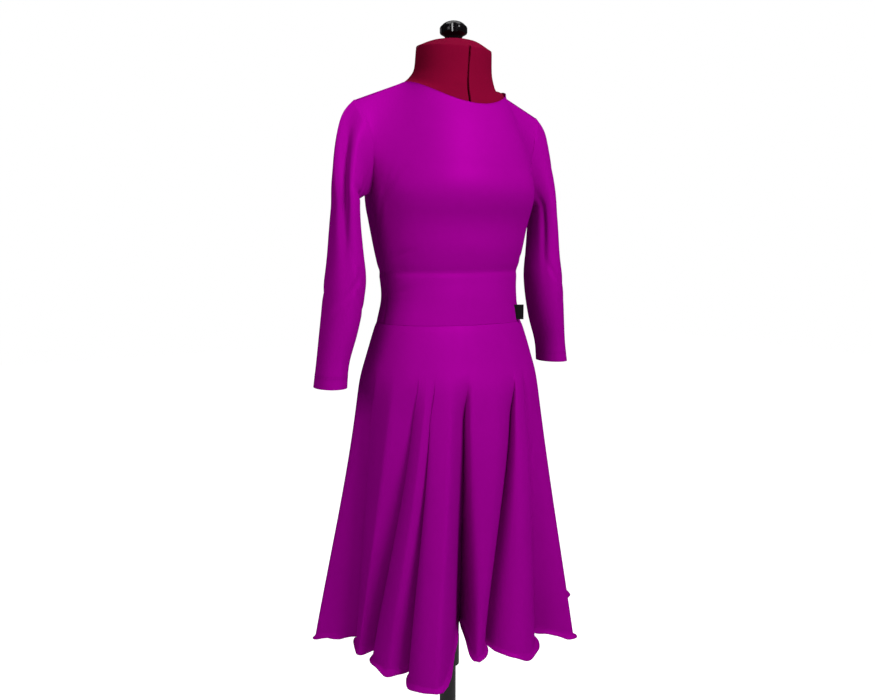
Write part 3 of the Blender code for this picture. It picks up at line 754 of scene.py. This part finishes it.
def flute_profile(steps):
    """Columns of the skirt: hip turn, hem turn, reach, lift, ridge (1 on a ridge), trough and overhang."""
    columns = []
    valley = (FLUTES[-1].valley_hip - 360, FLUTES[-1].valley_turn - 360, FLUTES[-1].valley_reach)
    rising = np.arange(steps) / steps
    for number, flute in enumerate(FLUTES):
        top = (flute.ridge_hip, flute.ridge_turn, flute.ridge_reach)
        next_valley = (flute.valley_hip, flute.valley_turn, flute.valley_reach)
        flanks = FLANKS.get(number, USUAL_FLANKS)
        leans = LEANS.get(number, USUAL_LEANS)
        after = (number + 1) % len(FLUTES)
        for parts, (hip, turn, reach), beside, low, flank, lean, breadth in (
            (rising, valley, number - 1, number - 1, flanks[0], -leans[0], TROUGH_BREADTHS[1]),
            (1 - rising, next_valley, after, number, flanks[1], leans[1], TROUGH_BREADTHS[0]),
        ):
            lift = 0.5 * (FLUTES[beside].lift + flute.lift) + VALLEY_RISES[low]
            for part in parts:
                ridge = 0.5 - 0.5 * math.cos(math.pi * part**flank)
                trough = TROUGHS[low] * max(0.0, 1 - part / breadth) ** 1.3
                columns.append((
                    hip + part * (top[0] - hip), turn + part * (top[1] - turn),
                    reach + ridge * (top[2] - reach), lift + ridge * (flute.lift - lift), ridge, trough,
                    lean * math.sin(math.pi * part**0.6)))
        valley = next_valley
    return np.array(columns).T


def skirt_grid(sizes):
    """Fine closed grid of the whole skirt from hem to waist seam."""
    hip_turn, turn, reach, lift, ridge, trough, lean = flute_profile(SKIRT_STEPS)
    angle = np.radians(turn)
    out = np.stack([np.sin(angle), -np.cos(angle), np.zeros(len(turn))], axis=-1)
    travel = travelled(out * reach[:, None])
    turns = 2 * np.pi * travel / (travel[-1] + 0.005)
    wave = (np.sin(turns * 37 + 1.3) + 0.8 * np.sin(turns * 61 + 0.4) + 0.5 * np.sin(turns * 97)) / 2.3
    curl = 1.0 + 0.45 * (np.sin(turns * 23 + 0.8) + np.sin(turns * 41 + 2.0)) / 2
    hem_height = HEM + lift + LIP_HEIGHT
    hip = hip_point(hip_turn, FLUTES_START)
    hem = out * reach[:, None]
    hem[:, 2] = hem_height
    slope = VALLEY_SLOPE + (RIDGE_SLOPE - VALLEY_SLOPE) * ridge
    spring = (slope * (FLUTES_START - hem_height))[:, None] * out
    level = (hem - hip) * np.array([1, 1, 0])
    rows = []
    for height in WAIST_SEAM + (FLUTES_START - WAIST_SEAM) * np.linspace(0, 1, 26)[:-1]:
        rows.append(hip_point(hip_turn, height))
    for fall in np.linspace(0, 1, 76):
        rows.append(hip + (hem - hip) * fall + (spring - level) * fall * (1 - fall) ** 2)
    grid = np.array(rows)
    smooth_along(grid, 20, 1.0)
    along = np.roll(hem, -1, axis=0) - np.roll(hem, 1, axis=0)
    outwards = np.stack([along[:, 1], -along[:, 0], np.zeros(len(turn))], axis=-1)
    outwards /= np.linalg.norm(outwards, axis=-1, keepdims=True)
    lips = []
    for part in np.linspace(0, 1, 9)[1:]:
        lip = grid[-1] + outwards * (sizes.lip * curl * (0.45 + 0.55 * ridge) * part**1.8)[:, None]
        lip[:, 2] += (sizes.hem_wave * wave * (0.4 + 0.6 * ridge) - LIP_HEIGHT) * part
        lips.append(lip)
    grid = np.concatenate([grid, lips])[::-1]
    normal = grid_normals(grid, True)
    drop = np.clip((FLUTES_START + 0.025 - grid[..., 2]) / 0.085, 0, 1)
    sideways = np.stack([np.cos(angle), np.sin(angle), np.zeros(len(turn))], axis=-1)
    moved = sideways * lean[:, None] - out * trough[:, None]
    return grid + moved * (drop**2 * (3 - 2 * drop))[..., None], normal


class DRESS_OT_bodice(bpy.types.Operator):
    """Front and back bodice: thin shells with bust, armpit creases and turned-in seams"""

    bl_idname = "dress.bodice"
    bl_label = "Bodice"

    def execute(self, context):
        for name, front, area in (("bodice_front", True, 0.125), ("bodice_back", False, 0.120)):
            piece = cloth_from_grid(name + "_cloth", bodice_grid(front), False)
            dress_piece(piece, "stretch_crepe", replaces=[name])
        return {"FINISHED"}


class DRESS_OT_waistband(bpy.types.Operator):
    """Front and back waistband"""

    bl_idname = "dress.waistband"
    bl_label = "Waistband"

    def execute(self, context):
        for name, front in (("waistband_front", True), ("waistband_back", False)):
            piece = cloth_from_grid(name + "_cloth", band_grid(front), False)
            dress_piece(piece, "stretch_crepe", replaces=[name])
        return {"FINISHED"}


def stitch_mesh(name, places, directions, normals, length, radius=0.00026):
    """One mesh of small stitches, each a capsule at a place, along a direction, lying on the cloth."""
    deselect_all()
    bpy.ops.mesh.primitive_uv_sphere_add(segments=6, ring_count=4, radius=1.0)
    model = bpy.context.object
    edit_all(model)
    bpy.ops.transform.resize(value=(radius, radius, length / 2))
    bpy.ops.object.mode_set(mode="OBJECT")
    shape = np.array([vert.co[:] for vert in model.data.vertices])
    faces = [tuple(polygon.vertices) for polygon in model.data.polygons]
    bpy.data.objects.remove(model, do_unlink=True)
    points, polygons = [], []
    for place, direction, normal in zip(places, directions, normals):
        across = np.cross(direction, normal)
        start = len(points) * len(shape)
        points.append(place + normal * radius * 0.4 + shape @ np.array([across, normal, direction]))
        polygons += [[start + index for index in face] for face in faces]
    mesh = bpy.data.meshes.new(name)
    mesh.from_pydata(np.concatenate(points).tolist(), [], polygons)
    mesh.shade_smooth()
    return add_object(name, mesh)


def stitches_on_loop(name, loop, normals, length, gap):
    """Stitches spaced evenly along a closed loop of points."""
    closed = np.concatenate([loop, loop[:1]])
    travel = travelled(closed)
    steps = np.diff(travel)
    count = int(travel[-1] / (length + gap))
    at = (np.arange(count) + 0.5) * travel[-1] / count
    index = np.clip(np.searchsorted(travel, at, side="right") - 1, 0, len(loop) - 1)
    share = ((at - travel[index]) / steps[index])[:, None]
    places = closed[index] * (1 - share) + closed[index + 1] * share
    directions = (closed[index + 1] - closed[index]) / steps[index][:, None]
    return stitch_mesh(name, places, directions, normals[index], length)


class DRESS_OT_sleeves(bpy.types.Operator):
    """Set-in sleeves with elbow and armpit folds and a double row of stitches above each cuff"""

    bl_idname = "dress.sleeves"
    bl_label = "Sleeves"

    def execute(self, context):
        sizes = context.scene.dress_sizes
        for name, side, creases in (
            ("sleeve_left", 1, LEFT_SLEEVE_CREASES),
            ("sleeve_right", -1, RIGHT_SLEEVE_CREASES),
        ):
            grid, normal = sleeve_grid(side, creases)
            piece = cloth_from_grid(name + "_cloth", grid, True, flip=side < 0)
            dress_piece(piece, "stretch_crepe", replaces=[name])
            for number, height in enumerate((sizes.cuff_hem, sizes.cuff_hem - STITCH_ROWS_GAP)):
                row = int(np.argmin(np.abs(grid[:, 0, 2] - grid[0, 0, 2] - height)))
                stitches = stitches_on_loop(f"{name}_cuff_stitches_{number + 1}", grid[row], normal[row],
                                            sizes.stitch, STITCH_GAP)
                dress_piece(stitches, "stretch_crepe", finish="sewing_thread")
        return {"FINISHED"}


def tube_along(name, points, radius):
    """A thin round roll along a line of points."""
    curve = bpy.data.curves.new(name, "CURVE")
    curve.dimensions = "3D"
    curve.bevel_depth = radius
    curve.bevel_resolution = 1
    curve.use_fill_caps = True
    spline = curve.splines.new("POLY")
    spline.points.add(len(points) - 1)
    spline.points.foreach_set("co", np.column_stack([points, np.ones(len(points))]).ravel())
    take(add_object(name, curve))
    bpy.ops.object.convert(target="MESH")
    obj = bpy.context.object
    obj.data.shade_smooth()
    return obj


class DRESS_OT_skirt(bpy.types.Operator):
    """Skirt panels falling in flutes, each with its rolled and stiffened hem"""

    bl_idname = "dress.skirt"
    bl_label = "Skirt"

    def execute(self, context):
        sizes = context.scene.dress_sizes
        grid, normal = skirt_grid(sizes)
        count = grid.shape[1]
        seams = {name: 2 * SKIRT_STEPS * (flute + 1) for name, flute in PANEL_ENDS.items()}
        start = seams["skirt_back_left"] - count
        for name, end in seams.items():
            columns = np.arange(start, end + 1) % count
            part = grid[:, columns]
            part = part + normal[:, columns] * edge_dip(part, ("top",), 0.0011, 0.0060)[..., None]
            piece = cloth_from_grid(name + "_cloth", part, False)
            dress_piece(piece, "stretch_crepe", replaces=[name])
            roll = tube_along(name + "_hem_roll", part[0] - [0, 0, 0.0002], sizes.hem_roll / 2)
            dress_piece(roll, "stretch_crepe")
            start = end
        return {"FINISHED"}


class DRESS_OT_label(bpy.types.Operator):
    """Side label: a strip folded on itself, caught by its edge and standing out from the waistband"""

    bl_idname = "dress.label"
    bl_label = "Side label"

    def execute(self, context):
        angle = math.radians(LABEL_TURN)
        outwards = np.array([math.sin(angle), -math.cos(angle), 0.0])
        across = np.array([math.cos(angle), math.sin(angle), 0.0])
        low, high = (np.array(corner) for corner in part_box("side_label"))
        root = np.array([low[0], high[1], 0.0]) + 0.0004 * across
        fold = 0.00035
        reach = LABEL_WIDTH - fold
        angles = np.radians(np.linspace(-90, 90, 7)[1:-1])
        profile = [(part * reach, -fold) for part in np.linspace(0, 1, 12)]
        profile += [(reach + fold * math.cos(a), fold * math.sin(a)) for a in angles]
        profile += [(part * reach, fold) for part in np.linspace(1, 0, 12)]
        rows = np.linspace(low[2] + 0.0002, high[2] - 0.0002, 26)
        grid = np.array([
            [root + outwards * along + across * (side + 0.0006 * (along / reach) ** 2) + [0, 0, height]
             for along, side in profile] for height in rows])
        piece = cloth_from_grid("side_label_tape", grid, False)
        dress_piece(piece, "woven_label", replaces=["side_label"])
        return {"FINISHED"}


def ringed_solid(name, rings, sides, centre_of):
    """A closed solid grown by extruding a circle ring by ring: (height, half width, half depth, centre)."""
    deselect_all()
    height, wide, deep, centre = rings[0]
    bpy.ops.mesh.primitive_circle_add(vertices=sides, radius=1.0, fill_type="NGON", location=(0, 0, 0))
    obj = bpy.context.object
    obj.name = name
    edit_all(obj)
    bpy.ops.transform.resize(value=(wide, deep, 1.0))
    bpy.ops.transform.translate(value=(centre_of[0], centre + centre_of[1], height))
    for (low, was_wide, was_deep, was_centre), (height, wide, deep, centre) in zip(rings, rings[1:]):
        bpy.ops.mesh.extrude_region_move(
            TRANSFORM_OT_translate={"value": (0, centre - was_centre, height - low)})
        middle = (centre_of[0], centre + centre_of[1], height)
        bpy.ops.transform.resize(value=(wide / was_wide, deep / was_deep, 1.0), center_override=middle)
    bpy.ops.mesh.select_all(action="SELECT")
    bpy.ops.mesh.normals_make_consistent(inside=False)
    bpy.ops.object.mode_set(mode="OBJECT")
    return obj


def form_rings(turn):
    """Rings of the form from below: hips, the dress's own sections moved in, shoulders and neck."""
    angle = np.radians(turn)

    def own_ring(row):
        forward = -row.half_deep * np.cos(angle)
        return np.stack([
            row.half_width * np.sin(angle), row.centre + forward, row.height + row.tilt * forward], axis=-1)

    rings = [own_ring(row) for row in FORM_HIPS]
    for height in np.linspace(WAIST_SEAM, ARMPIT, 12):
        inset = FORM_INSET + BUST_INSET * (height - WAIST_SEAM) / (ARMPIT - WAIST_SEAM)
        rows = [Section(row.height, *(size - inset for size in row[1:])) for row in TORSO]
        rings.append(section_surface(rows)(turn, height))
    rings += [own_ring(row) for row in FORM_CHEST]
    middle = np.where(np.cos(angle) >= 0, FRONT_NECK, BACK_NECK)
    rings.append(np.stack([
        (NECKLINE_HALF_WIDTH - NECK_INSET) * np.sin(angle),
        NECKLINE_CENTRE - (NECKLINE_DEPTH - NECK_INSET) * np.cos(angle),
        middle + (SIDE_NECK - middle) * np.sin(angle) ** 2 - 1.5 * NECK_INSET,
    ], axis=-1))
    return np.array(rings + [own_ring(row) for row in FORM_NECK])


class DRESS_OT_form(bpy.types.Operator):
    """Dress form in its knit cover, with the slot down the front of its neck"""

    bl_idname = "dress.form"
    bl_label = "Dress form"

    def execute(self, context):
        shaped = form_rings(180 - 360 * np.arange(FORM_SIDES) / FORM_SIDES)
        smooth = [shaped[0]]
        neck = len(shaped) - len(FORM_NECK) - 1
        for low in range(len(shaped) - 1):
            if low < neck:
                smooth.append(shaped[low + 1])
                continue
            before, after = shaped[low - 1], shaped[min(low + 2, len(shaped) - 1)]
            for part in (0.25, 0.5, 0.75, 1.0):
                smooth.append(smooth_step(shaped[low], shaped[low + 1], 0.5 * (shaped[low + 1] - before),
                                          0.5 * (after - shaped[low]), part))
        heights = [float(ring[:, 2].mean()) for ring in smooth]
        rings = [(height, 1.0, 1.0, 0.0) for height in heights]
        form = ringed_solid("form_cover", rings, FORM_SIDES, (0.0, 0.0))
        for number, ring in enumerate(smooth):
            for side, place in enumerate(ring):
                form.data.vertices[number * FORM_SIDES + side].co = place
        bottom, top = SLOT_HEIGHTS
        deselect_all()
        bpy.ops.mesh.primitive_cube_add(size=1.0, location=(0.0, 0.0, 0.0))
        cutter = bpy.context.object
        edit_all(cutter)
        bpy.ops.transform.resize(value=(*SLOT_SIZE, top - bottom))
        bpy.ops.transform.rotate(value=math.radians(SLOT_LEAN), orient_axis="Y")
        bpy.ops.transform.translate(value=(*SLOT_PLACE, (bottom + top) / 2))
        bpy.ops.object.mode_set(mode="OBJECT")
        cut_away(form, cutter)
        smooth_below(form, 50)
        dress_piece(form, "form_cover", replaces=["form_torso"])
        return {"FINISHED"}


class DRESS_OT_dial(bpy.types.Operator):
    """Lobed dial on the neck, with notches cut between its lobes"""

    bl_idname = "dress.dial"
    bl_label = "Neck dial"

    def execute(self, context):
        low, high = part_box("neck_dial")
        centre = (0.5 * (low[0] + high[0]), 0.5 * (low[1] + high[1]))
        base = low[2]
        profile = (
            (0.0000, 0.0140), (0.0008, 0.0146), (0.0050, 0.0146), (0.0075, 0.0160), (0.0095, 0.0195),
            (0.0110, 0.0222), (0.0135, 0.0232), (0.0200, 0.0232), (0.0222, 0.0222), (0.0242, 0.0200),
            (0.0266, 0.0176), (0.0290, 0.0140), (0.0308, 0.0092), (0.0318, 0.0040),
        )
        rings = [(base + rise, radius, radius, 0.0) for rise, radius in profile]
        dial = ringed_solid("neck_dial_knob", rings, 72, centre)
        for number in range(DIAL_LOBES):
            angle = 2 * math.pi * (number + 0.5) / DIAL_LOBES
            place = (centre[0] + NOTCH_REACH * math.sin(angle), centre[1] - NOTCH_REACH * math.cos(angle))
            deselect_all()
            bpy.ops.mesh.primitive_cylinder_add(
                vertices=48, radius=NOTCH_RADIUS, depth=0.0150, location=(*place, base + 0.0180))
            cutter = take(bpy.context.object)
            bpy.ops.object.transform_apply(location=True, rotation=True, scale=True)
            cut_away(dial, cutter)
        apply_modifier(dial, "BEVEL", width=0.0007, segments=3, limit_method="ANGLE",
                       angle_limit=math.radians(40))
        smooth_below(dial, 45)
        dress_piece(dial, "dial_plastic", body=DIAL_BODY, replaces=["neck_dial"])
        return {"FINISHED"}


class DRESS_OT_stand(bpy.types.Operator):
    """Enamel on the stand's pole, hub and legs"""

    bl_idname = "dress.stand"
    bl_label = "Stand"

    def execute(self, context):
        enamel = finish_for("stand_enamel")
        for name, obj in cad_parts.items():
            if name.startswith("stand_"):
                for slot in obj.material_slots:
                    slot.material = enamel
        return {"FINISHED"}


class DRESS_OT_stage(bpy.types.Operator):
    """Pale floor and backdrop, soft lights and the camera"""

    bl_idname = "dress.stage"
    bl_label = "Stage"

    def execute(self, context):
        scene = context.scene
        deselect_all()
        bpy.ops.mesh.primitive_plane_add(size=16.0, location=(0.0, 0.0, 0.0))
        floor = bpy.context.object
        floor.name = "pale_floor"
        material, tree, shader, place = new_material("pale_floor", linear("#f4f4f4"), {"Roughness": 0.9})
        mottle = add_node(tree, "TexNoise", {"Scale": 3.0}, {"Vector": place["Object"]})
        tint = add_node(tree, "Mix", {"A": (*linear("#f2f2f2"), 1.0), "B": (*linear("#f7f7f7"), 1.0)},
                        {"Factor": mottle.outputs["Fac"]}, data_type="RGBA")
        tree.links.new(tint.outputs[2], shader.inputs["Base Color"])
        seen = add_node(tree, "LightPath")
        tree.links.new(seen.outputs["Is Camera Ray"], shader.inputs["Emission Strength"])
        shader.inputs["Emission Color"].default_value = (*PALE, 1.0)
        floor.data.materials.append(material)

        world = bpy.data.worlds.new("studio")
        world.use_nodes = True
        tree = world.node_tree
        background = tree.nodes["Background"]
        background.inputs["Color"].default_value = (*PALE, 1.0)
        seen = add_node(tree, "LightPath")
        level = add_node(tree, "MapRange", {"To Min": 0.07, "To Max": 1.0},
                         {"Value": seen.outputs["Is Camera Ray"]})
        tree.links.new(level.outputs["Result"], background.inputs["Strength"])
        scene.world = world
        scene.view_settings.view_transform = "Standard"

        for name, place, size, power, colour in (
            ("key", (0.22, -1.76, 2.55), 0.7, 41.0, PALE),
            ("left", (-2.3, -0.9, 1.85), 1.1, 16.0, (1.0, 0.9, 0.95)),
            ("top", (0.4, 0.6, 3.4), 1.4, 10.0, PALE),
        ):
            data = bpy.data.lights.new(name, "AREA")
            data.size = size
            data.energy = power
            data.color = colour
            light = add_object(name, data)
            light.location = place
            aim = Vector((0.0, 0.0, 1.0)) - Vector(place)
            light.rotation_euler = aim.to_track_quat("-Z", "Y").to_euler()

        data = bpy.data.cameras.new("view")
        image_width, focal_pixels = 875.0, 836.0
        data.sensor_width = 36.0
        data.lens = focal_pixels / image_width * data.sensor_width
        camera = add_object("view", data)
        bearing, distance, aside, height, pitch = math.radians(31.8), 1.47, 0.019, 1.172, 7.0
        forward = Vector((math.sin(bearing), math.cos(bearing), 0))
        right = Vector((math.cos(bearing), -math.sin(bearing), 0))
        camera.location = -distance * forward - aside * right + Vector((0, 0, height))
        camera.rotation_euler = (math.radians(90 - pitch), 0.0, -bearing)
        scene.camera = camera
        return {"FINISHED"}


class DRESS_PT_panel(bpy.types.Panel):
    bl_label = "Dance Dress"
    bl_idname = "DRESS_PT_panel"
    bl_space_type = "VIEW_3D"
    bl_region_type = "UI"
    bl_category = "Dance Dress"

    def draw(self, context):
        for group in (context.scene.dress_sizes, context.scene.dress_colours):
            for name in group.__annotations__:
                self.layout.prop(group, name)
        for operator in STEPS:
            self.layout.operator(operator.bl_idname)


STEPS = (
    DRESS_OT_stage,
    DRESS_OT_form,
    DRESS_OT_bodice,
    DRESS_OT_waistband,
    DRESS_OT_sleeves,
    DRESS_OT_skirt,
    DRESS_OT_label,
    DRESS_OT_dial,
    DRESS_OT_stand,
)
CLASSES = (DressSizes, DressColours, *STEPS, DRESS_PT_panel)


def register():
    for cls in CLASSES:
        bpy.utils.register_class(cls)
    bpy.types.Scene.dress_sizes = bpy.props.PointerProperty(type=DressSizes)
    bpy.types.Scene.dress_colours = bpy.props.PointerProperty(type=DressColours)


def unregister():
    del bpy.types.Scene.dress_sizes
    del bpy.types.Scene.dress_colours
    for cls in reversed(CLASSES):
        bpy.utils.unregister_class(cls)


def main():
    register()
    bpy.ops.dress.stage()
    bpy.ops.dress.form()
    bpy.ops.dress.bodice()
    bpy.ops.dress.waistband()
    bpy.ops.dress.sleeves()
    bpy.ops.dress.skirt()
    bpy.ops.dress.label()
    bpy.ops.dress.dial()
    bpy.ops.dress.stand()


if __name__ == "__main__":
    main()
